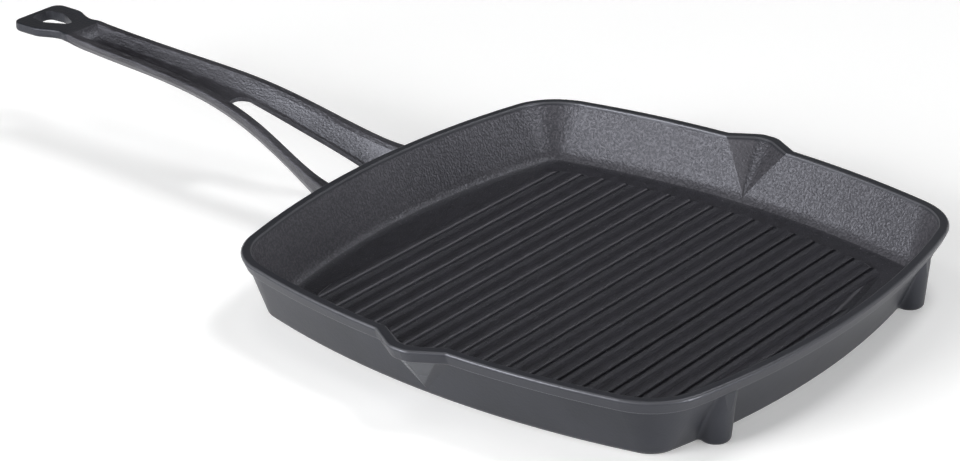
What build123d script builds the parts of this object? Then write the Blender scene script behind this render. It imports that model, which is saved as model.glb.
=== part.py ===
"""Square cast iron grill pan with a ribbed floor, two pouring lips and a forked handle.

The pan is one casting. It is written as the regions that its pattern maker would name, each a
solid of its own, and every region meets its neighbours face to face.
The origin is the middle of the base, Z is up, the handle points to -X, and the lips to +Y and -Y.
"""
from build123d import *
import math
import os

# Pan, seen from above
rim_width = 261.2
side_bow_radius = 401.0
rim_corner_radius = 32.4
base_corner_radius = 12.0
floor_corner_radius = 10.5

# Pan, seen from the side
pan_height = 30.0
floor_thickness = 4.0
wall_thickness = 4.9
inner_draft_angle = 23.3
outer_draft_angle = 21.4
band_height = 6.2
ledge_step = 1.1
rim_outer_radius = 1.2
rim_inner_radius = 0.8
ledge_edge_radius = 0.5
base_edge_radius = 3.5
floor_fillet_radius = 8.0
floor_seam_margin = 2.0

# Pouring lips
lip_reach = 8.2
lip_tip_half_width = 4.5
lip_root_half_width = 17.8
lip_tip_radius = 7.0
lip_root_radius = 4.5
lip_back = 14.0
lip_sink = 0.3
lip_seam_margin = 2.0
lip_apex_height = 3.2
ridge_half_width = 0.6
ridge_radius = 1.6
ridge_root_radius = 9.0
groove_apex_height = 6.4

# Ribs
rib_count = 17
rib_pitch = 11.56
rib_row_offset = 2.7
rib_height = 2.3
rib_top_width = 4.4
rib_waist_width = 5.2
rib_foot_width = 9.6
rib_waist_height = 0.5
rib_crown = 0.3
rib_edge_radius = 0.9
rib_waist_radius = 1.2
rib_end_gap = 7.0
rib_end_run = 4.0
rib_end_corner_radius = 12.0

# Rest lugs under the rim, on the side away from the handle
lug_front_inset = 17.8
lug_side_inset = 54.8
lug_foot_radius = 6.6
lug_top_radius = 8.3
lug_foot_edge_radius = 2.2
lug_root_radius = 2.5

# Handle
handle_length = 219.0
arm_root_half_width = 33.6
grip_half_width = 12.7
arm_root_top = 25.8
grip_top = 50.7
arm_root_depth = 20.2
grip_depth = 7.3
arm_top_width = 4.5
arm_foot_width = 4.2
arm_root_flare = 10.5
shoulder_width = 1.3
shoulder_depth = 1.6
web_thickness = 2.2
arm_edge_radius = 0.9
arm_foot_radius = 1.7
channel_corner_radius = 1.5
crotch_bead = 0.7

# Hanging eye at the handle's end
eye_half_width = 16.0
eye_start_half_width = 12.0
eye_neck_half_width = 11.3
eye_neck_run = 5.0
eye_wide_run = 2.0
eye_top = 51.7
eye_thickness = 4.8
eye_corner_radius = 5.5
eye_hole_margin = 3.8
eye_hole_length = 24.5
eye_hole_half_width = 7.2
eye_hole_corner_radius = 3.6
eye_hole_nose_radius = 2.4

# Extra length of every cutter, so that no cut ends on a face
overrun = 2.0

# The handle's sections, in order from the pan, as shares: the place along the handle, the spread
# of the sides, the rise of the top line, the depth, the lean of a side for its depth, and the
# flare towards the wall. A share of 0 is the grip's own size, and 1 is the size at the arms' root.
arm_section_shares = [
    (-0.0959, 1.400, -0.016, 1.160, 0.30, 1.00),
    (-0.0274, 1.000, 0.000, 1.000, 0.33, 0.26),
    (0.0274, 0.823, 0.032, 0.720, 0.40, 0.05),
    (0.0913, 0.684, 0.153, 0.490, 0.49, 0.00),
    (0.2283, 0.402, 0.514, 0.325, 0.54, 0.00),
    (0.3653, 0.215, 0.771, 0.147, 0.61, 0.00),
    (0.4566, 0.129, 0.855, 0.062, 0.66, 0.00),
    (0.5708, 0.053, 0.912, 0.015, 0.68, 0.00),
    (0.7854, 0.000, 1.000, 0.000, 0.64, 0.00),
]
fork_section_count = 6
crotch_share = 0.386
crease_depth_share = 0.45
crease_lean_share = 0.25
channel_end_share = 0.836
eye_start_share = 0.841
eye_flare_share = 0.42
eye_flare_width_share = 0.62
eye_hole_shoulder_share = 0.42
eye_hole_blunt_share = 0.9
lip_apex_share = 0.03
groove_round_share = 0.97

# Worked out from the sizes above
ledge_height = pan_height - band_height
cavity_depth = pan_height - floor_thickness
inner_slope = math.tan(math.radians(inner_draft_angle))
outer_slope = math.tan(math.radians(outer_draft_angle))
band_inset = band_height * inner_slope
ledge_inset = band_inset + ledge_step
base_inset = ledge_inset + ledge_height * outer_slope
floor_inset = wall_thickness + cavity_depth * inner_slope
fillet_foot = floor_fillet_radius / math.tan(math.radians((90 + inner_draft_angle) / 2))


def level_between(low, high, share):
    """The value a share of the way from low to high."""
    return low + (high - low) * share


def pan_outline(inset, corner_radius):
    """The pan's outline drawn in by inset: four bowed sides, each tangent to two round corners."""
    half = rim_width / 2 - inset
    bow = side_bow_radius - inset
    bow_shift = bow - half
    reach = bow - corner_radius
    corner = (math.sqrt(2 * reach**2 - bow_shift**2) - bow_shift) / 2
    turn = math.degrees(math.atan2(corner, corner + bow_shift))
    edges = []
    for quarter in range(4):
        side = CenterArc((-bow_shift, 0), bow, -turn, 2 * turn)
        bend = CenterArc((corner, corner), corner_radius, turn, 90 - 2 * turn)
        edges.append(Rot(0, 0, 90 * quarter) * side)
        edges.append(Rot(0, 0, 90 * quarter) * bend)
    return make_face(edges)


class LipForm:
    """A lip's outline at its full size: a flat tip and two flanks, with every corner rounded."""

    def __init__(self, tip_half_width, tip_radius, root_radius):
        self.tip = tip_half_width
        self.tip_radius = tip_radius
        self.root_radius = root_radius
        self.flank_angle = math.atan2(lip_reach, lip_root_half_width - tip_half_width)

    def drawn_in(self, distance):
        """The form with its faces moved inwards by a distance."""
        tip = self.tip - distance * math.tan(self.flank_angle / 2)
        form = LipForm(self.tip, self.tip_radius, self.root_radius)
        form.tip = tip
        return form


def band_form():
    """The lip's form where it is part of the rim's band."""
    return LipForm(lip_tip_half_width, lip_tip_radius, lip_root_radius)


def wedge_form():
    """The form of the wedge under the lip, with a narrow ridge for a tip."""
    return LipForm(ridge_half_width, ridge_radius, ridge_root_radius)


def groove_form():
    """The form of the groove inside the lip, one wall in from the band, with a round bottom."""
    form = band_form().drawn_in(wall_thickness)
    form.tip_radius = groove_round_share * form.tip / math.tan(form.flank_angle / 2)
    form.root_radius = lip_root_radius + wall_thickness
    return form


def add_lip(face, side, inset, form, share):
    """Add one lip to an outline, grown from its apex by a share of its full size."""
    half = rim_width / 2 - inset
    reach = lip_reach * share
    tip = form.tip * share
    back = rim_corner_radius * share
    foot = tip + (reach + back) / math.tan(form.flank_angle)
    wedge = make_face(Polyline(
        (-foot, side * (half - back)),
        (-tip, side * (half + reach)),
        (tip, side * (half + reach)),
        (foot, side * (half - back)),
        close=True,
    ))
    joined = face + wedge
    corners = joined.vertices().filter_by(lambda v: abs(v.X) < foot and side * v.Y > 0)
    tips = corners.filter_by(lambda v: side * v.Y > half + reach / 2)
    joined = fillet(tips, form.tip_radius * share)
    corners = joined.vertices().filter_by(lambda v: abs(v.X) < foot and side * v.Y > 0)
    roots = corners.filter_by(lambda v: abs(v.X) > tip + reach and side * v.Y < half + reach / 2)
    roots = roots.sort_by(lambda v: abs(v.Y))[:2]
    return fillet(roots, form.root_radius * share)


def outer_level(height):
    """Inset and corner radius of the wall's outside at a height below the ledge."""
    share = height / ledge_height
    inset = level_between(base_inset, ledge_inset, share)
    corner = level_between(base_corner_radius, rim_corner_radius - ledge_inset, share)
    return inset, corner


def inner_level(height):
    """Inset and corner radius of the wall's inside at a height above the floor."""
    share = (height - floor_thickness) / (ledge_height - floor_thickness)
    ledge_level = wall_thickness + band_inset
    inset = level_between(floor_inset, ledge_level, share)
    corner = level_between(floor_corner_radius, rim_corner_radius - ledge_level, share)
    return inset, corner


def body_shape():
    """The solid outside of the wall, from the base to the ledge, with its rounded foot."""
    foot = pan_outline(*outer_level(0))
    ledge = Pos(0, 0, ledge_height) * pan_outline(*outer_level(ledge_height))
    solid = loft([foot, ledge], ruled=True)
    return fillet(solid.edges().group_by(Axis.Z)[0], base_edge_radius)


def cavity_shape():
    """The space inside the wall, from the floor to the ledge's level, with the floor's fillet."""
    floor = Pos(0, 0, floor_thickness) * pan_outline(*inner_level(floor_thickness))
    top = Pos(0, 0, ledge_height) * pan_outline(*inner_level(ledge_height))
    solid = loft([floor, top], ruled=True)
    return fillet(solid.edges().group_by(Axis.Z)[0], floor_fillet_radius)


def mouth_shape():
    """The space inside the band, from the ledge's level to above the rim, with the same draft."""
    face = Pos(0, 0, ledge_height) * pan_outline(*inner_level(ledge_height))
    return extrude(face, band_height + overrun, taper=-inner_draft_angle)


def lip_section(side, level, height, form, share):
    """One level cut through a lip and a stretch of the pan behind it.

    The stretch lies a little under the pan's own face, so that the lip's roots meet it at an angle.
    """
    inset, corner = level(height)
    sunk = inset + lip_sink
    outline = pan_outline(sunk, corner - lip_sink)
    whole = add_lip(outline, side, sunk, form, share)
    half_window = (lip_root_half_width + form.root_radius) * share
    window = Rectangle(2 * half_window, 2 * lip_back * share)
    return Pos(0, 0, height) * (whole & Pos(0, side * (rim_width / 2 - sunk)) * window)


def lip_shape(side, level, low, high, full, form):
    """A lip's wedge from its apex at low, full size at the height called full, ending at high."""
    high_share = level_between(lip_apex_share, 1, (high - low) / (full - low))
    foot = lip_section(side, level, low, form, lip_apex_share)
    head = lip_section(side, level, high, form, high_share)
    return loft([foot, head], ruled=True)


def band_shape():
    """The solid outside of the rim's band, lips included, from the ledge to the rim."""
    face = pan_outline(band_inset, rim_corner_radius - band_inset)
    for side in (1, -1):
        face = add_lip(face, side, band_inset, band_form().drawn_in(band_inset), 1)
    band = extrude(Pos(0, 0, ledge_height) * face, band_height, taper=-inner_draft_angle)
    band = fillet(band.edges().group_by(Axis.Z)[-1], rim_outer_radius)
    return fillet(band.edges().group_by(Axis.Z)[0], ledge_edge_radius)


def groove_shapes():
    """The pouring groove behind each lip, from its apex above the floor to above the rim."""
    grooves = []
    for side in (1, -1):
        top = pan_height + overrun
        grooves.append(lip_shape(side, inner_level, groove_apex_height, top, pan_height, groove_form()))
    return grooves


def spout_shapes():
    """The solid wedge under each lip, from its apex on the wall up to the ledge."""
    wedges = []
    for side in (1, -1):
        top = ledge_height
        wedges.append(lip_shape(side, outer_level, lip_apex_height, top, top, wedge_form()))
    return wedges


def rim_band(band, grooves):
    """The raised band round the rim, with both lips and rounded upper edges."""
    ring = band - mouth_shape()
    for groove in grooves:
        ring = ring - groove
    rim = ring.faces().sort_by(Axis.Z)[-1]
    return fillet(rim.inner_wires()[0].edges(), rim_inner_radius)


def floor_window():
    """The upright space that holds the floor plate, out to partway up the wall's fillet."""
    outline = pan_outline(floor_inset + floor_seam_margin, floor_corner_radius - floor_seam_margin)
    return extrude(outline, pan_height)


def wall_and_spouts(body, cavity, window, wedges, grooves):
    """The sloping wall under the band, and the two stretches of it that swell out into a lip."""
    shell = body
    for wedge in wedges:
        shell = shell + wedge
    shell = shell - cavity - window
    for groove in grooves:
        shell = shell - groove
    half_width = lip_root_half_width + ridge_root_radius + lip_seam_margin
    spouts = []
    wall = shell
    for outward in (Align.MIN, Align.MAX):
        lie = (Align.CENTER, outward, Align.MIN)
        stretch = Pos(0, 0, lip_apex_height) * Box(2 * half_width, rim_width, pan_height, align=lie)
        spouts.append(shell & stretch)
        wall = wall - stretch
    return wall, spouts


def rib_profile():
    """A rib's section: a spread foot, a waist, leaning sides and a crowned top."""
    foot = rib_foot_width / 2
    waist = rib_waist_width / 2
    top = rib_top_width / 2
    shoulder = rib_height - rib_crown
    outline = Polyline((-top, shoulder), (-waist, rib_waist_height), (-foot, 0), (foot, 0),
                       (waist, rib_waist_height), (top, shoulder))
    crown = ThreePointArc((top, shoulder), (0, rib_height), (-top, shoulder))
    face = make_face(outline + crown)
    upper = face.vertices().group_by(Axis.Y)[-1]
    face = fillet(upper, rib_edge_radius)
    waists = face.vertices().filter_by(lambda v: abs(v.Y - rib_waist_height) < rib_waist_height / 2)
    return fillet(waists, rib_waist_radius)


def rib_field():
    """The space that the ribs fill: every rib ends on this outline and slopes down to it."""
    inset = floor_inset + fillet_foot + rib_end_gap
    low = pan_outline(inset, rib_end_corner_radius)
    high = pan_outline(inset + rib_end_run, rib_end_corner_radius)
    top = floor_thickness + rib_height
    return loft([Pos(0, 0, floor_thickness) * low, Pos(0, 0, top) * high], ruled=True)


def ribs(field):
    """All the ribs, in a row with an even pitch, parallel to the lips' sides of the pan."""
    profile = Plane.XZ * rib_profile()
    bar = extrude(profile, rim_width / 2, both=True)
    row = []
    for index in range(rib_count):
        place = rib_row_offset + (index - (rib_count - 1) / 2) * rib_pitch
        row.append(Pos(place, 0, floor_thickness) * bar & field)
    return row


def rest_lug(side, body):
    """A tapered post under the rim that carries the pan's front edge, blended into the wall."""
    upright = (Align.CENTER, Align.CENTER, Align.MIN)
    post = Cone(lug_foot_radius, lug_top_radius, ledge_height, align=upright)
    post = fillet(post.edges().group_by(Axis.Z)[0], lug_foot_edge_radius)
    front = extrude(pan_outline(band_inset, rim_corner_radius - band_inset), ledge_height)
    place = Pos(rim_width / 2 - lug_front_inset, side * (rim_width / 2 - lug_side_inset), 0)
    joined = body + (place * post & front)
    near = place * Cylinder(lug_top_radius + lug_root_radius, 2 * ledge_height)
    upright_seams = joined.edges().filter_by(
        lambda e: near.is_inside(e @ 0.5) and abs((e @ 0).Z - (e @ 1).Z) > ledge_height / 2)
    return fillet(upright_seams, lug_root_radius) - body


def handle_place(share):
    """X of a place on the handle, as a share of the way from the pan's side to the handle's end."""
    return -(rim_width / 2 + handle_length * share)


class Section:
    """Real sizes of the handle at one place, worked out from a row of shares."""

    def __init__(self, row):
        along, spread, rise, deep, lean, flare = row
        self.x = handle_place(along)
        self.top = level_between(arm_root_top, grip_top, rise)
        self.half = level_between(grip_half_width, arm_root_half_width, spread)
        self.depth = level_between(grip_depth, arm_root_depth, deep)
        self.foot_half = self.half - self.depth * lean
        self.flare = arm_root_flare * flare
        self.channel_foot_half = self.foot_half - arm_foot_width - self.flare


def across_handle(x, face):
    """Stand a section drawn in Y and Z across the handle at x."""
    return Plane(origin=(x, 0, 0), x_dir=(0, 1, 0), z_dir=(1, 0, 0)) * face


def closed_over_middle(points):
    """A section's outline from its +Y half, given from the top down."""
    whole = points + [(-y, z) for y, z in reversed(points)]
    return make_face(Polyline(*whole, close=True))


def outer_section(x, half, top, depth, foot_half):
    """The handle's outside at one place: two leaning sides, each with a crease along it."""
    crease_half = half - (half - foot_half) * crease_lean_share
    face = closed_over_middle([
        (half, top),
        (crease_half, top - depth * crease_depth_share),
        (foot_half, top - depth),
    ])
    face = fillet(face.vertices().group_by(Axis.Y)[-1], arm_edge_radius)
    return across_handle(x, fillet(face.vertices().group_by(Axis.Y)[0], arm_foot_radius))


def channel_section(x, half, floor_half, top, depth):
    """The channel's inside at one place: a bevelled shoulder, then a leaning wall to the floor."""
    lift = overrun * shoulder_width / shoulder_depth
    face = closed_over_middle([
        (half + lift, top + overrun),
        (half - shoulder_width, top - shoulder_depth),
        (floor_half, top - depth),
    ])
    return across_handle(x, fillet(face.vertices().group_by(Axis.Y)[0], channel_corner_radius))


def handle_outside():
    """The handle's outside, from inside the pan's wall to the start of the hanging eye."""
    sections = []
    for row in arm_section_shares:
        part = Section(row)
        sections.append(outer_section(part.x, part.half, part.top, part.depth, part.foot_half))
    neck = eye_start_half_width
    sections.append(outer_section(handle_place(eye_start_share), neck, eye_top, eye_thickness, neck))
    return loft(sections)


def channel_end():
    """The channel's far end: a ramp that curves up from the channel's floor to the eye."""
    last = Section(arm_section_shares[-1])
    floor = last.top - last.depth + web_thickness
    under = floor - last.depth
    end_x = handle_place(channel_end_share)
    run = last.x - end_x
    rise = eye_top - floor
    radius = (run**2 + rise**2) / (2 * rise)
    turn = math.degrees(math.asin(run / radius))
    curve = CenterArc((last.x, floor + radius), radius, 270 - turn, turn)
    rest = Polyline((last.x, floor), (last.x, under), (end_x - overrun, under),
                    (end_x - overrun, eye_top), (end_x, eye_top))
    return extrude(Plane.XZ * make_face(curve + rest), 2 * last.half, both=True)


def channel_inside():
    """The hollow along the handle, which opens into the gap between the arms."""
    sections = []
    for row in arm_section_shares:
        part = Section(row)
        inner_half = part.half - arm_top_width - part.flare
        depth = part.depth - web_thickness
        sections.append(channel_section(part.x, inner_half, part.channel_foot_half, part.top, depth))
    last = sections[-1]
    shift = handle_place(channel_end_share) - handle_place(arm_section_shares[-1][0])
    sections.append(Pos(shift, 0, eye_top - grip_top) * last)
    return loft(sections) - channel_end()


def fork_gap():
    """The gap between the arms, from the round crotch to the pan, cut right through the web."""
    side = []
    for row in arm_section_shares[:fork_section_count]:
        part = Section(row)
        side.append((part.x, part.channel_foot_half - crotch_bead))
    edge = Spline(*side)
    other = Spline(*[(x, -y) for x, y in side])
    crotch = ThreePointArc(side[-1], (handle_place(crotch_share), 0), (side[-1][0], -side[-1][1]))
    mouth = Line(side[0], (side[0][0], -side[0][1]))
    return extrude(make_face(edge + crotch + other + mouth), 2 * grip_top)


def fork_and_grip(body, band):
    """The arms and the grip, cut apart where the gap reaches its full width."""
    handle = handle_outside() - channel_inside() - fork_gap() - body - band
    split = Section(arm_section_shares[fork_section_count - 1])
    outer_side = (Align.MAX, Align.CENTER, Align.CENTER)
    far = Pos(split.x, 0, 0) * Box(handle_length, handle_length, handle_length, align=outer_side)
    return handle - far, handle & far


def hanging_eye():
    """The flat paddle at the handle's end, with its teardrop hanging hole."""
    start = handle_place(eye_start_share)
    end = handle_place(1)
    wide = end + eye_corner_radius + eye_wide_run
    neck = start - eye_neck_run
    sides = []
    for side in (1, -1):
        sides.append(Spline(
            (start, side * eye_start_half_width),
            (neck, side * eye_neck_half_width),
            (level_between(neck, wide, eye_flare_share), side * level_between(
                eye_neck_half_width, eye_half_width, eye_flare_width_share)),
            (wide, side * eye_half_width),
            tangents=[(-1, 0), (-1, 0)],
        ))
    tip = Polyline((wide, eye_half_width), (end, eye_half_width), (end, -eye_half_width),
                   (wide, -eye_half_width))
    root = Line((start, eye_start_half_width), (start, -eye_start_half_width))
    face = make_face(sides[0] + sides[1] + tip + root)
    face = fillet(face.vertices().group_by(Axis.X)[0], eye_corner_radius)
    plate = Pos(0, 0, eye_top) * extrude(face, -eye_thickness)
    rim = plate.edges().filter_by(lambda e: e.center().X < start - arm_foot_radius)
    plate = fillet(rim.group_by(Axis.Z)[-1], arm_edge_radius)
    rim = plate.edges().filter_by(lambda e: e.center().X < start - arm_foot_radius)
    plate = fillet(rim.group_by(Axis.Z)[0], arm_foot_radius)
    return plate - eye_hole()


def eye_hole():
    """The hanging hole: square to the plate, blunt towards the end and pointed towards the grip."""
    blunt = handle_place(1) + eye_hole_margin
    nose = blunt + eye_hole_length
    shoulder = blunt + eye_hole_length * eye_hole_shoulder_share
    face = make_face(Polyline(
        (blunt, eye_hole_half_width * eye_hole_blunt_share),
        (shoulder, eye_hole_half_width),
        (nose, 0),
        (shoulder, -eye_hole_half_width),
        (blunt, -eye_hole_half_width * eye_hole_blunt_share),
        close=True,
    ))
    face = fillet(face.vertices().group_by(Axis.X)[-1], eye_hole_nose_radius)
    face = fillet(face.vertices().group_by(Axis.X)[0], eye_hole_corner_radius)
    shoulders = face.vertices().filter_by(lambda v: abs(v.X - shoulder) < eye_hole_nose_radius)
    face = fillet(shoulders, eye_hole_corner_radius)
    return extrude(face, 2 * eye_top)


def named_pieces():
    """Every region of the casting under its own name; left and right are the cook's, at the handle."""
    body = body_shape()
    cavity = cavity_shape()
    band = band_shape()
    wedges = spout_shapes()
    grooves = groove_shapes()
    window = floor_window()
    wall, spouts = wall_and_spouts(body, cavity, window, wedges, grooves)
    arms, grip = fork_and_grip(body, band)
    left_arm, right_arm = arms.solids().sort_by(Axis.Y, reverse=True)
    pieces = {
        "pan_floor": (body & window) - cavity,
        "pan_wall": wall,
        "rim_band": rim_band(band, grooves),
        "left_spout": spouts[0],
        "right_spout": spouts[1],
        "left_rest_lug": rest_lug(1, body),
        "right_rest_lug": rest_lug(-1, body),
        "left_arm": left_arm,
        "right_arm": right_arm,
        "handle_grip": grip,
        "hanging_eye": hanging_eye(),
    }
    for number, rib in enumerate(ribs(rib_field()), start=1):
        pieces[f"rib_{number:02d}"] = rib
    return pieces


os.makedirs("parts", exist_ok=True)
for name, piece in named_pieces().items():
    export_step(piece, f"parts/{name}.step")
    print(name, round(piece.volume, 1))
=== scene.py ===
# %% [markdown]
# # A square cast iron grill pan
#
# The real pan is one casting: a ribbed floor, a sloping wall, a raised rim band with two pouring
# lips, and a forked channel handle. Its solids come from CAD, so this lesson starts by loading
# them, and then gives the iron its skin, the studio its lamps and the view its camera.
# Everything is in metres, with the middle of the pan's base at the origin, the handle towards -X
# and the lips towards +Y and -Y.

import math

import bmesh
import bpy
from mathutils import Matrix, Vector

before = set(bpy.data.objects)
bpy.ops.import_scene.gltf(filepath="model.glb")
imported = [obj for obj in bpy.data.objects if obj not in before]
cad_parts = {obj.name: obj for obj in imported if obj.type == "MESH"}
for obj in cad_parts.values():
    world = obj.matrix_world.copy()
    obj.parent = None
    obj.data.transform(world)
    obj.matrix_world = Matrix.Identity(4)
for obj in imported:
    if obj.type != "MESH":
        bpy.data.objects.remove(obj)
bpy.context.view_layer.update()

MM = 0.001

# %% [markdown]
# ## A short way to write shader maths
#
# A material is a graph of nodes. Wired by hand, a sum of two masks takes six lines, so a small
# class wraps one output and lets Python's own signs add the Math nodes. Colours and vectors don't
# go through Math nodes, because those turn a colour grey.


# %% One output of a node
class Signal:
    """A number that changes over the surface, held as one output of a node."""

    def __init__(self, graph, output):
        self.graph = graph
        self.output = output

    def math(self, operation, first, second=0.0):
        return self.graph.add("ShaderNodeMath", {"operation": operation}, {0: first, 1: second})

    def __add__(self, other):
        return self.math("ADD", self, other)

    def __sub__(self, other):
        return self.math("SUBTRACT", self, other)

    def __mul__(self, other):
        return self.math("MULTIPLY", self, other)

    def __radd__(self, other):
        return self.math("ADD", other, self)

    def __rsub__(self, other):
        return self.math("SUBTRACT", other, self)

    def __rmul__(self, other):
        return self.math("MULTIPLY", other, self)

    def at_least(self, other):
        return self.math("MAXIMUM", self, other)

    def at_most(self, other):
        return self.math("MINIMUM", self, other)

    def size(self):
        """The value without its sign."""
        return self.math("ABSOLUTE", self)

    def root(self):
        return self.math("SQRT", self)

    def ramp(self, low, high):
        """0 where the value is low, 1 where it is high, with soft ends."""
        settings = {"interpolation_type": "SMOOTHSTEP"}
        return self.graph.add("ShaderNodeMapRange", settings, {0: self, 1: low, 2: high})


print("signs that add Math nodes: + - *")


# %% The graph that the outputs belong to
class Graph:
    """The nodes of one material or of the world."""

    def __init__(self, owner):
        owner.use_nodes = True
        self.tree = owner.node_tree
        self.tree.nodes.clear()

    def add(self, kind, settings=None, values=None, out=0):
        """Add a node: its settings first, then the values or links of its sockets."""
        node = self.tree.nodes.new(kind)
        for key, setting in (settings or {}).items():
            setattr(node, key, setting)
        for key, value in (values or {}).items():
            if isinstance(value, Signal):
                self.tree.links.new(value.output, node.inputs[key])
            else:
                node.inputs[key].default_value = value
        return Signal(self, node.outputs[out]) if node.outputs else node

    def place(self):
        """Where a point lies on the object, in metres."""
        return self.add("ShaderNodeTexCoord", out="Object")

    def along(self, axis):
        """How far a point lies along the X, Y or Z axis, in metres."""
        return self.add("ShaderNodeSeparateXYZ", values={0: self.place()}, out=axis)

    def noise(self, size, detail=2.0, roughness=0.5, squeeze=None):
        """Noise with grains of about the given size in metres, longer where squeeze is under 1."""
        place = self.place()
        if squeeze:
            settings = {"operation": "MULTIPLY"}
            place = self.add("ShaderNodeVectorMath", settings, {0: place, 1: squeeze})
        return self.add("ShaderNodeTexNoise", values={
            "Vector": place, "Scale": 1.0 / size, "Detail": detail, "Roughness": roughness})

    def mix(self, share, first, second):
        """A colour between two others."""
        settings = {"data_type": "RGBA"}
        return self.add("ShaderNodeMix", settings, {0: share, 6: first, 7: second}, out=2)

    def bump(self, height, depth):
        """Turn a height from 0 to 1 into relief of the given depth, in metres."""
        return self.add("ShaderNodeBump", values={"Height": height, "Distance": depth})

    def finish(self, kind, shader):
        """Show the shader as the surface of a Material or of the World."""
        self.add("ShaderNodeOutput" + kind, values={"Surface": shader})


trial = bpy.data.materials.new("trial")
trial_graph = Graph(trial)
fall = 1.0 - trial_graph.along("X")
print("1 - x takes", len(trial_graph.tree.nodes), "nodes and ends in", fall.output.node.name)
bpy.data.materials.remove(trial)

# %% [markdown]
# ## The iron's skins
#
# Sand casting leaves an orange peel inside the pan: pits of about a millimetre, with softer waves
# under them. The outside has been ground and is satin, with a touch of blue. The ribbed floor is
# smoother and darker, with fine specks. Noise on Object coordinates runs on from one solid to the
# next, because every node's object sits at the origin, so the seams don't show.
#
# Each skin gives three things: a colour, a roughness, and a relief from 0 to about 1.

# %% The sand-cast skin inside
PEEL_BLACK = (0.027, 0.0265, 0.031, 1.0)
PEEL_GREY = (0.078, 0.076, 0.086, 1.0)
GRAIN_GREY = (0.22, 0.21, 0.24, 1.0)
PEEL_SIZE = 1.15 * MM
WAVE_SIZE = 5.0 * MM
SHADE_SIZE = 45.0 * MM
PEEL_CREST = (0.40, 0.64)
BRIGHT_GRAIN = (0.74, 0.80)
CREST_SHARE, SHADE_SHARE = 0.6, 0.4
PEEL_ROUGH, SHADE_ROUGH, CREST_SHINE = 0.40, 0.10, 0.08
PEEL_HEIGHT, WAVE_HEIGHT = 0.95, 0.3


def sand_cast(graph):
    """The orange peel inside the wall and the band, and on the fillet at the floor."""
    peel = graph.noise(PEEL_SIZE)
    wave = graph.noise(WAVE_SIZE, detail=1.0)
    shade = graph.noise(SHADE_SIZE)
    crest = peel.ramp(*PEEL_CREST)
    colour = graph.mix(crest * CREST_SHARE + shade * SHADE_SHARE, PEEL_BLACK, PEEL_GREY)
    colour = graph.mix(peel.ramp(*BRIGHT_GRAIN), colour, GRAIN_GREY)
    rough = PEEL_ROUGH + SHADE_ROUGH * shade - CREST_SHINE * crest
    relief = peel * PEEL_HEIGHT + wave * WAVE_HEIGHT
    return colour, rough, relief


print("peel grains across 10 mm:", round(10.0 * MM / PEEL_SIZE, 1))

# %% The satin skin outside
SATIN_BLACK = (0.012, 0.013, 0.016, 1.0)
SATIN_GREY = (0.019, 0.020, 0.025, 1.0)
CLOUD_SIZE = 30.0 * MM
GRAIN_SIZE = 1.2 * MM
CLOUD_EDGE = (0.3, 0.7)
SATIN_ROUGH, CLOUD_ROUGH = 0.34, 0.10
GRAIN_HEIGHT, CLOUD_HEIGHT = 0.12, 0.6


def satin_cast(graph, black=SATIN_BLACK, grey=SATIN_GREY):
    """The ground skin outside the wall and on the lugs, and the start of the handle's."""
    cloud = graph.noise(CLOUD_SIZE, detail=3.0)
    grain = graph.noise(GRAIN_SIZE)
    colour = graph.mix(cloud.ramp(*CLOUD_EDGE), black, grey)
    rough = SATIN_ROUGH + CLOUD_ROUGH * cloud
    relief = grain * GRAIN_HEIGHT + cloud * CLOUD_HEIGHT
    return colour, rough, relief


print("satin is rougher by up to", CLOUD_ROUGH, "in its clouds")

# %% The floor's smoother skin
FLOOR_BLACK = (0.009, 0.0085, 0.011, 1.0)
FLOOR_GREY = (0.018, 0.017, 0.022, 1.0)
SPECK_GREY = (0.11, 0.105, 0.12, 1.0)
SPECK_SIZE = 0.9 * MM
BLOTCH_SIZE = 5.0 * MM
BLOTCH_EDGE = (0.3, 0.8)
SPECK_EDGE = (0.66, 0.74)
FLOOR_ROUGH, BLOTCH_ROUGH = 0.43, 0.16
SPECK_HEIGHT, BLOTCH_HEIGHT = 0.7, 0.2


def smooth_cast(graph):
    """The dark, finely specked skin of the floor and its ribs."""
    speck = graph.noise(SPECK_SIZE, roughness=0.6)
    blotch = graph.noise(BLOTCH_SIZE, detail=3.0)
    colour = graph.mix(blotch.ramp(*BLOTCH_EDGE), FLOOR_BLACK, FLOOR_GREY)
    colour = graph.mix(speck.ramp(*SPECK_EDGE), colour, SPECK_GREY)
    rough = FLOOR_ROUGH + BLOTCH_ROUGH * blotch
    relief = speck * SPECK_HEIGHT + blotch * BLOTCH_HEIGHT
    return colour, rough, relief


print("the floor's grey against the peel's:", round(FLOOR_GREY[0] / PEEL_GREY[0], 2))

# %% The ribs' crests, with a painted highlight
CREST_HIGHLIGHT_GREY = (0.115, 0.112, 0.124, 1.0)
CREST_FOOT = (5.25 * MM, 5.7 * MM)
CREST_END = (5.90 * MM, 6.10 * MM)
CREST_POLISH = 0.18


def rib_cast(graph):
    """The floor's skin, lighter and smoother along the rounded edges of each rib: the lighter
    colour is a painted highlight.
    """
    colour, rough, relief = smooth_cast(graph)
    rise = graph.along("Z")
    # Painted highlight: the grey mixed onto each rib's rounded edge stands in for the shine there;
    # the lower roughness is the iron's own.
    crest = rise.ramp(*CREST_FOOT) * (1.0 - rise.ramp(*CREST_END))
    return graph.mix(crest, colour, CREST_HIGHLIGHT_GREY), rough - CREST_POLISH * crest, relief


# The height of the band up each rib that carries the painted highlight.
print("worn edge of a rib:", round((CREST_END[1] - CREST_FOOT[0]) / MM, 2), "mm high")

# %% A blend of two skins, first used where the floor plate turns up to the wall
FILLET_SPAN = (4.1 * MM, 5.5 * MM)


def blend(graph, share, first, second):
    """The first skin where the share is 0, the second where it is 1."""
    colour = graph.mix(share, first[0], second[0])
    rough = first[1] * (1.0 - share) + second[1] * share
    relief = first[2] * (1.0 - share) + second[2] * share
    return colour, rough, relief


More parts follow.
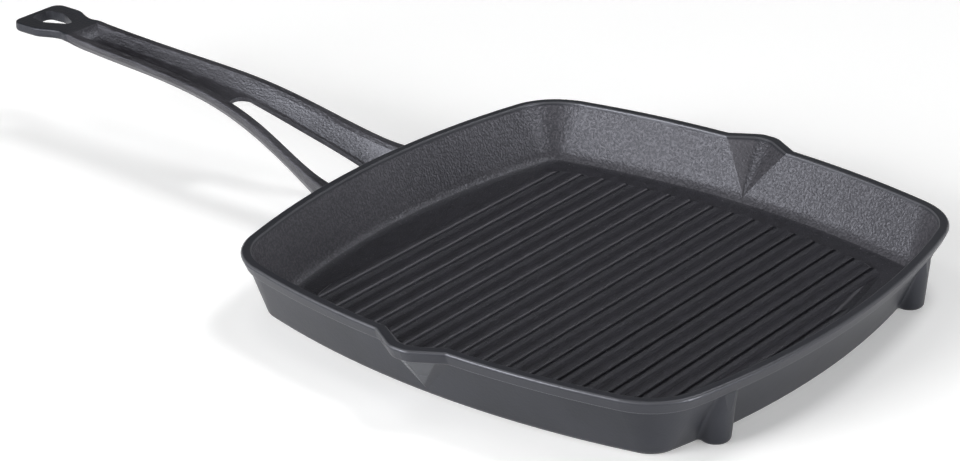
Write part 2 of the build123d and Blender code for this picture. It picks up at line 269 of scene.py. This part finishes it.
def plate_cast(graph):
    """Smooth where it is flat, sand-cast where it starts to rise to the wall."""
    return blend(graph, graph.along("Z").ramp(*FILLET_SPAN), smooth_cast(graph), sand_cast(graph))


print("the peel starts", round(FILLET_SPAN[0] / MM, 2), "mm above the base")

# %% [markdown]
# ## Inside or outside
#
# One solid carries both faces of the wall, so the material has to tell them apart. A point's
# distance to the middle of the wall does that: negative inside, positive outside. The middle is a
# square with bowed sides and round corners that grows with height, and it swells at the two lips.

# %% Telling the wall's two faces apart
MIDDLE_HALF = 114.95 * MM
MIDDLE_GROWTH = 0.4168
CORNER_RADIUS = 7.43 * MM
CORNER_GROWTH = 0.297
BOW_DIAMETER = 802.0 * MM
LIP_FOOT = 5.0 * MM
LIP_HEIGHT = 25.0 * MM
LIP_REACH = 8.2 * MM
LIP_HALF_WIDTH = 17.8 * MM
LIP_SLOPE = 0.617
LIP_EDGE = (0.1 * MM, 0.7 * MM)
HALF_SEAM = 0.6 * MM


def wall_faces(graph):
    """Three masks: the wall's inner face, a lip, and the flank of a lip towards the handle."""
    away, along, rise = (graph.along(axis) for axis in "XYZ")
    across, along = away.size(), along.size()
    share = (rise - LIP_FOOT) * (1.0 / LIP_HEIGHT)
    front_reach = share * LIP_REACH
    flank_reach = (share * LIP_HALF_WIDTH - across) * LIP_SLOPE
    lip = front_reach.at_most(flank_reach).at_least(0.0)
    radius = rise * CORNER_GROWTH + CORNER_RADIUS
    edge = rise * MIDDLE_GROWTH + MIDDLE_HALF - radius
    bow = 1.0 / BOW_DIAMETER
    past_front = across + along * along * bow - edge
    past_side = along + across * across * bow - lip - edge
    front, side = past_front.at_least(0.0), past_side.at_least(0.0)
    corner = (front * front + side * side).root()
    distance = corner + past_front.at_least(past_side).at_most(0.0) - radius
    outside = distance.ramp(-HALF_SEAM, HALF_SEAM)
    swell = lip.ramp(*LIP_EDGE)
    near_handle = 1.0 - away.ramp(-HALF_SEAM, HALF_SEAM)
    flank = (front_reach - flank_reach).ramp(0.0, HALF_SEAM) * near_handle
    return 1.0 - outside, swell, swell * flank


rim_middle = MIDDLE_HALF + MIDDLE_GROWTH * (LIP_FOOT + LIP_HEIGHT)
print("middle of the wall:", round(MIDDLE_HALF / MM, 1), "mm out at the base,",
      round(rim_middle / MM, 1), "mm at the rim")

# %% The wall, with its lips and grooves
LIP_GREY = (0.050, 0.053, 0.060, 1.0)
# The flank grey is a painted highlight on the outside of each lip's flank towards the handle; the
# groove grey is a painted highlight on the same flank inside.
FLANK_HIGHLIGHT_GREY = (0.36, 0.38, 0.41, 1.0)
GROOVE_HIGHLIGHT_GREY = (0.115, 0.112, 0.125, 1.0)
GROOVE_HIGHLIGHT_SHARE = 0.5
LIP_POLISH, FLANK_POLISH = 0.12, 0.10


def wall_cast(graph):
    """Satin outside and lighter on the outside of the lips, with a painted highlight on each lip's
    flank; orange peel inside, with a painted highlight in the grooves.
    """
    inside, lip, flank = wall_faces(graph)
    colour, rough, relief = blend(graph, inside, satin_cast(graph), sand_cast(graph))
    outside = 1.0 - inside
    lip_outside = lip * outside
    flank_highlight = flank * outside
    colour = graph.mix(lip_outside, colour, LIP_GREY)
    # Painted highlight on the lip's flank outside, then on the groove's facet inside.
    colour = graph.mix(flank_highlight, colour, FLANK_HIGHLIGHT_GREY)
    colour = graph.mix(flank * inside * GROOVE_HIGHLIGHT_SHARE, colour, GROOVE_HIGHLIGHT_GREY)
    return colour, rough - LIP_POLISH * lip_outside - FLANK_POLISH * flank_highlight, relief


print("a lip's flank is", round(FLANK_HIGHLIGHT_GREY[0] / LIP_GREY[0], 1), "times as light as its front")

# %% The rim band, with painted highlights along its edges
BAND_GREY = (0.024, 0.025, 0.030, 1.0)
EDGE_HIGHLIGHT_GREY = (0.065, 0.066, 0.073, 1.0)
BAND_FOOT = (24.05 * MM, 24.45 * MM)
PEEL_END = (28.0 * MM, 29.2 * MM)
BAND_EDGE = (29.0 * MM, 29.4 * MM)
BAND_TOP = (29.80 * MM, 29.97 * MM)
EDGE_POLISH = 0.08


def band_cast(graph):
    """Satin, with the wall's peel low inside, a painted highlight in the grooves, and painted
    highlights along its three level edges.
    """
    inside, _, flank = wall_faces(graph)
    rise = graph.along("Z")
    peeled = inside * (1.0 - rise.ramp(*PEEL_END))
    satin = satin_cast(graph, SATIN_GREY, BAND_GREY)
    colour, rough, relief = blend(graph, peeled, satin, sand_cast(graph))
    # Painted highlight on the groove's facet inside, as on the wall below.
    colour = graph.mix(flank * peeled * GROOVE_HIGHLIGHT_SHARE, colour, GROOVE_HIGHLIGHT_GREY)
    # Painted highlights: the band's top edges and its foot outside are greyed lighter, and made a
    # little smoother.
    upper = rise.ramp(*BAND_EDGE) * (1.0 - rise.ramp(*BAND_TOP))
    lower = (1.0 - rise.ramp(*BAND_FOOT)) * (1.0 - inside)
    painted_highlight = upper + lower
    return graph.mix(painted_highlight, colour, EDGE_HIGHLIGHT_GREY), rough - EDGE_POLISH * painted_highlight, relief


print("rim band:", round((BAND_TOP[1] - BAND_FOOT[0]) / MM, 2), "mm high")

# %% The handle and its flat end
HANDLE_BLACK = (0.016, 0.015, 0.018, 1.0)
HANDLE_GREY = (0.034, 0.033, 0.038, 1.0)
STREAK_GREY = (0.058, 0.057, 0.066, 1.0)
STREAK_SIZE = 0.8 * MM
STREAK_SQUEEZE = (0.10, 1.0, 1.0)
STREAK_EDGE = (0.50, 0.68)
STREAK_SHINE, STREAK_HEIGHT = 0.04, 0.3
HANDLE_PIT_ROUGH, EYE_PIT_ROUGH, PIT_HEIGHT = 0.06, 0.05, 0.4


def handle_cast(graph):
    """Half way between satin and peel, with fine grey streaks along the handle."""
    colour, rough, relief = satin_cast(graph, HANDLE_BLACK, HANDLE_GREY)
    pit = graph.noise(PEEL_SIZE)
    streak = graph.noise(STREAK_SIZE, detail=3.0, squeeze=STREAK_SQUEEZE)
    colour = graph.mix(streak.ramp(*STREAK_EDGE), colour, STREAK_GREY)
    rough = rough + HANDLE_PIT_ROUGH * pit - STREAK_SHINE * streak
    return colour, rough, relief + pit * PIT_HEIGHT + streak * STREAK_HEIGHT


def eye_cast(graph):
    """The wall's satin, a little rougher, on the flat end of the handle."""
    colour, rough, relief = satin_cast(graph)
    pit = graph.noise(PEEL_SIZE)
    return colour, rough + EYE_PIT_ROUGH * pit, relief + pit * PIT_HEIGHT


print("streaks on the handle:", round(STREAK_SIZE / STREAK_SQUEEZE[0] / MM, 1), "mm long")

# %% Skins as materials
RELIEF_DEPTH = 0.45 * MM
IRON_TINT = (0.87, 0.89, 1.0, 1.0)
SHINE, HANDLE_SHINE = 0.5, 0.6


def iron(name, skin, shine=SHINE):
    """A material from one skin."""
    material = bpy.data.materials.new(name)
    graph = Graph(material)
    colour, rough, relief = skin(graph)
    shader = graph.add("ShaderNodeBsdfPrincipled", values={
        "Base Color": colour,
        "Roughness": rough,
        "Specular IOR Level": shine,
        "Specular Tint": IRON_TINT,
        "Normal": graph.bump(relief, RELIEF_DEPTH),
    })
    graph.finish("Material", shader)
    print(name + ":", len(graph.tree.nodes), "nodes")
    return material


# %% Give every solid its skin
wall_iron = iron("wall iron", wall_cast)
band_iron = iron("band iron", band_cast)
outer_iron = iron("satin iron", satin_cast)
handle_iron = iron("handle iron", handle_cast, shine=HANDLE_SHINE)
eye_iron = iron("eye iron", eye_cast)
rib_iron = iron("rib iron", rib_cast)
plate_iron = iron("floor plate iron", plate_cast)
skins = {
    "pan_wall": wall_iron, "left_spout": wall_iron, "right_spout": wall_iron,
    "rim_band": band_iron, "pan_floor": plate_iron,
    "left_rest_lug": outer_iron, "right_rest_lug": outer_iron, "hanging_eye": eye_iron,
}
ribs = [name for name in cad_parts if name.startswith("rib_")]
for name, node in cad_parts.items():
    skin = rib_iron if name in ribs else skins.get(name, handle_iron)
    for slot in node.material_slots:
        slot.material = skin
print("finished nodes:", len(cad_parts), "of which ribs:", len(ribs))

# %% [markdown]
# ## The studio
#
# The photograph has a bare white ground and soft light, most of it from the front left. A broad
# matt floor keeps the pan's shadow, the world is pale at the horizon and dark overhead, and soft
# lamps stand where the shine on each face of the iron shows them.

# %% Floor
FLOOR_HALF = 4.0
GROUND_WHITE = (0.92, 0.92, 0.92, 1.0)
GROUND_ROUGH = 0.9
GROUND_LIFT = 0.24
FAR_GROUND = (0.7, 2.2)
SEEN_BY = ("Camera", "Glossy", "Transmission")


def white_ground():
    """A matt white floor, lifted towards white where it is seen, most of all far off."""
    material = bpy.data.materials.new("white ground")
    graph = Graph(material)
    matt = graph.add("ShaderNodeBsdfPrincipled", values={
        "Base Color": GROUND_WHITE,
        "Roughness": GROUND_ROUGH,
    })
    by_eye, by_shine, through = (
        graph.add("ShaderNodeLightPath", out=f"Is {ray} Ray") for ray in SEEN_BY)
    distance = graph.add(
        "ShaderNodeVectorMath", {"operation": "LENGTH"}, {0: graph.place()}, out="Value")
    lift = distance.ramp(*FAR_GROUND) * (1.0 - GROUND_LIFT) + GROUND_LIFT
    strength = (by_eye + by_shine + through) * lift
    glow = graph.add("ShaderNodeEmission", values={"Strength": strength})
    graph.finish("Material", graph.add("ShaderNodeAddShader", values={0: matt, 1: glow}))
    return material


mesh = bpy.data.meshes.new("ground")
sheet = bmesh.new()
bmesh.ops.create_grid(sheet, x_segments=1, y_segments=1, size=FLOOR_HALF)
sheet.to_mesh(mesh)
sheet.free()
ground = bpy.data.objects.new("ground", mesh)
bpy.context.collection.objects.link(ground)
ground.data.materials.append(white_ground())
print("floor:", ground.dimensions.x, "m wide")

# %% World
WORLD_LEVEL = 0.06
HORIZON_LEVEL = 1.0
HORIZON_END = (0.08, 0.20)

world = bpy.data.worlds.new("studio")
bpy.context.scene.world = world
sky_graph = Graph(world)
direction = sky_graph.add("ShaderNodeTexCoord", out="Generated")
height = sky_graph.add("ShaderNodeSeparateXYZ", values={0: direction}, out="Z")
level = height.ramp(*HORIZON_END) * (WORLD_LEVEL - HORIZON_LEVEL) + HORIZON_LEVEL
sky_graph.finish("World", sky_graph.add("ShaderNodeBackground", values={"Strength": level}))
print("world is dark from", round(math.degrees(math.asin(HORIZON_END[1])), 1), "degrees up")

# %% Lamps: where each one stands, how wide it is, and its power
LAMPS = {
    "key": ((-0.9, -1.25, 0.75), 0.9, 10.0),
    "front left": ((-0.5, -1.5, 0.5), 0.7, 23.0),
    "front right": ((0.45, -1.5, 0.55), 0.7, 3.0),
    "low right": ((1.6, 0.1, 0.25), 0.45, 19.0),
    "back": ((0.07, 0.82, 1.43), 0.5, 8.5),
    "top left": ((-0.6, 0.0, 1.6), 0.6, 2.5),
}


def soft_lamp(name, place, width, power):
    """A square lamp at a place, turned to face the pan."""
    data = bpy.data.lights.new(name, "AREA")
    data.size = width
    data.energy = power
    lamp = bpy.data.objects.new(name, data)
    lamp.location = place
    lamp.rotation_euler = (-Vector(place)).to_track_quat("-Z", "Y").to_euler()
    bpy.context.collection.objects.link(lamp)


for name, (place, width, power) in LAMPS.items():
    soft_lamp(name, place, width, power)
print("lamps:", len(LAMPS), "with", sum(power for _, _, power in LAMPS.values()), "watts")

# %% [markdown]
# ## The camera
#
# A long lens looks in over the corner between the near lip and the side away from the handle, as
# in the photograph: the camera's place follows from where it points, how far it stands off, and
# its two angles.

# %% Camera
TARGET = Vector((-82.22, 21.03, 0.0)) * MM
DISTANCE = 1310.8 * MM
AZIMUTH = math.radians(38.13)
ELEVATION = math.radians(24.97)
LENS = 106.49
SENSOR_WIDTH = 36.0
CLIP_START = 0.05

look = Vector((
    -math.sin(AZIMUTH) * math.cos(ELEVATION),
    math.cos(AZIMUTH) * math.cos(ELEVATION),
    -math.sin(ELEVATION),
))
camera_data = bpy.data.cameras.new("camera")
camera_data.lens = LENS
camera_data.sensor_width = SENSOR_WIDTH
camera_data.clip_start = CLIP_START
camera = bpy.data.objects.new("camera", camera_data)
camera.location = TARGET - look * DISTANCE
camera.rotation_euler = look.to_track_quat("-Z", "Y").to_euler()
bpy.context.collection.objects.link(camera)
bpy.context.scene.camera = camera
bpy.context.scene.view_settings.view_transform = "Standard"
print("camera at:", [round(value, 3) for value in camera.location])
